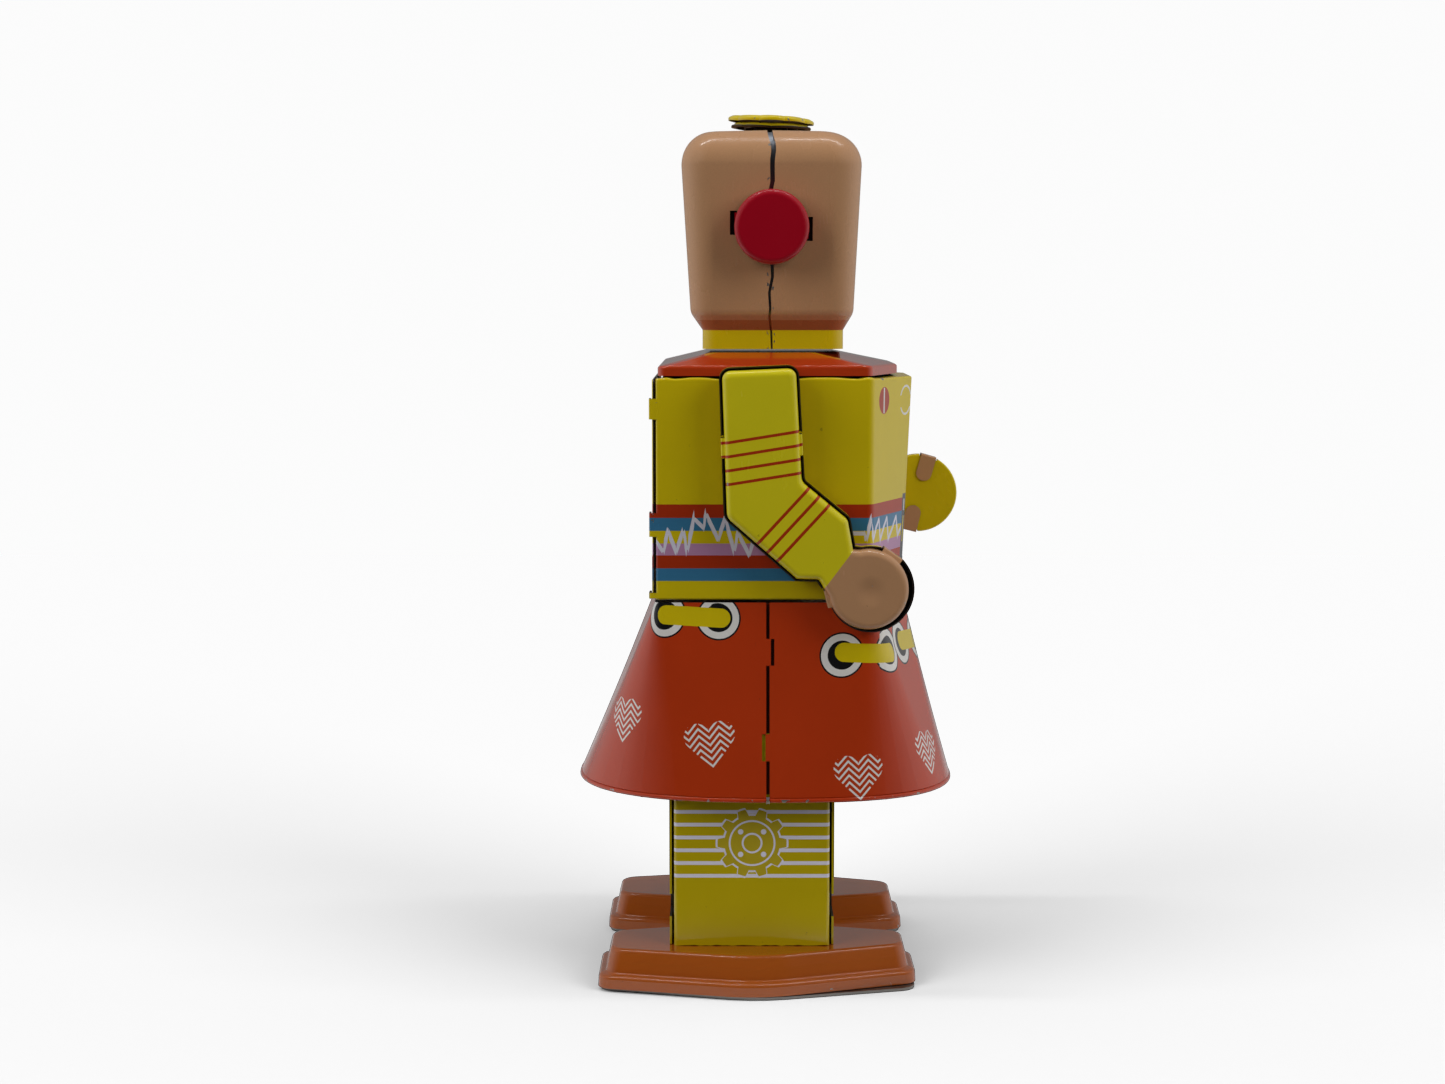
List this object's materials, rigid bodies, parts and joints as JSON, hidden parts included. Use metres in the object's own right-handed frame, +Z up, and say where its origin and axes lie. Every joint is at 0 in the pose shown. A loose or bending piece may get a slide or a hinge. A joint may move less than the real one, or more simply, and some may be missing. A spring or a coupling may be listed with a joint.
{
  "type": "clockwork tinplate walking robot",
  "caption": "Small wind-up walking robot of folded tinplate: boxy head, V-fronted torso, flared skirt, bent swinging arms and wide boat-shaped shoes.",
  "frame": {"origin": "centre of the bounding box on the floor, between the two shoes", "axes": "+Z up; the robot faces -Y and its right side is at -X"},
  "size_m": [0.0714, 0.0744, 0.1597],
  "materials": {
    "yellow_tin": "gloss lithographed yellow",
    "skin_tin": "satin printed tan",
    "red_tin": "gloss crimson",
    "orange_tin": "gloss orange red",
    "brown_tin": "gloss tan brown",
    "bare_tin": "dull bare tinplate",
    "steel": "plain steel",
    "brass": "stamped brass"
  },
  "bodies": {
    "torso_and_motor": {"head_front_shell": "skin_tin", "head_rear_shell": "skin_tin", "right_ear_cap": "red_tin", "left_ear_cap": "red_tin", "flower_plate": "yellow_tin", "flower_stand": "bare_tin", "shoulder_cover": "orange_tin", "torso_wrap": "yellow_tin", "torso_back_panel": "yellow_tin", "torso_floor": "bare_tin", "skirt_front_shell": "orange_tin", "skirt_rear_shell": "orange_tin", "right_shoulder_rivet": "steel", "left_shoulder_rivet": "steel", "right_shoulder_washer": "steel", "left_shoulder_washer": "steel", "motor_plate_right": "steel", "motor_plate_left": "steel", "motor_pillar_upper_front": "steel", "motor_pillar_upper_rear": "steel", "motor_pillar_lower_rear": "steel", "motor_pillar_lower_front": "steel", "mainspring": "steel", "leg_guide_shaft": "steel"},
    "winding_set": {"winding_arbor": "steel", "winding_key": "steel", "ratchet_wheel": "steel"},
    "great_wheel_set": {"great_wheel": "brass", "click_pawl": "steel"},
    "second_arbor_set": {"second_pinion": "steel", "second_wheel": "brass"},
    "crank_set": {"crank_shaft": "steel", "crank_wheel": "brass", "right_crank_disc": "steel", "left_crank_disc": "steel"},
    "escape_set": {"escape_arbor": "steel", "escape_wheel": "brass"},
    "governor_set": {"governor_arbor": "steel", "governor_weight": "brass"},
    "right_arm": {"right_arm_outer_shell": "yellow_tin", "right_arm_inner_tray": "yellow_tin"},
    "right_leg": {"right_leg_outer_channel": "yellow_tin", "right_leg_inner_channel": "yellow_tin", "right_shoe_upper": "brown_tin", "right_sole_plate": "bare_tin"},
    "left_arm": {"left_arm_outer_shell": "yellow_tin", "left_arm_inner_tray": "yellow_tin"},
    "left_leg": {"left_leg_outer_channel": "yellow_tin", "left_leg_inner_channel": "yellow_tin", "left_shoe_upper": "brown_tin", "left_sole_plate": "bare_tin"}
  },
  "joints": [
    {"name": "winding_key_turn", "type": "hinge", "parent": "torso_and_motor", "child": "winding_set", "pos_m": [0, 0.0115, 0.076], "axis": [1, 0, 0], "continuous": true},
    {"name": "great_wheel_spin", "type": "hinge", "parent": "torso_and_motor", "child": "great_wheel_set", "pos_m": [0, 0.0115, 0.076], "axis": [1, 0, 0], "continuous": true},
    {"name": "second_arbor_spin", "type": "hinge", "parent": "torso_and_motor", "child": "second_arbor_set", "pos_m": [0, 0.00565, 0.06645], "axis": [1, 0, 0], "continuous": true},
    {"name": "crank_spin", "type": "hinge", "parent": "torso_and_motor", "child": "crank_set", "pos_m": [0, 0.0046, 0.056], "axis": [1, 0, 0], "continuous": true},
    {"name": "escape_spin", "type": "hinge", "parent": "torso_and_motor", "child": "escape_set", "pos_m": [0, -0.00461, 0.05935], "axis": [1, 0, 0], "continuous": true},
    {"name": "governor_rock", "type": "hinge", "parent": "torso_and_motor", "child": "governor_set", "pos_m": [0, -0.00461, 0.06615], "axis": [1, 0, 0], "range_deg": [-8, 8]},
    {"name": "right_leg_swing", "type": "hinge", "parent": "torso_and_motor", "child": "right_leg", "pos_m": [0, 0.0046, 0.042], "axis": [-1, 0, 0], "range_deg": [-6, 6]},
    {"name": "left_leg_swing", "type": "hinge", "parent": "torso_and_motor", "child": "left_leg", "pos_m": [0, 0.0046, 0.042], "axis": [-1, 0, 0], "range_deg": [-6, 6]},
    {"name": "right_arm_swing", "type": "hinge", "parent": "torso_and_motor", "child": "right_arm", "pos_m": [0, 0.0034, 0.1076], "axis": [-1, 0, 0], "range_deg": [-8, 300]},
    {"name": "left_arm_swing", "type": "hinge", "parent": "torso_and_motor", "child": "left_arm", "pos_m": [0, 0.0034, 0.1076], "axis": [-1, 0, 0], "range_deg": [-30, 250]}
  ],
  "couplings": [
    {"joint": "second_arbor_spin", "follows": "crank_spin", "ratio": -0.36364},
    {"joint": "great_wheel_spin", "follows": "crank_spin", "ratio": 0.12121},
    {"joint": "escape_spin", "follows": "crank_spin", "ratio": -2.5},
    {"joint": "left_leg_swing", "follows": "right_leg_swing", "ratio": -1}
  ]
}
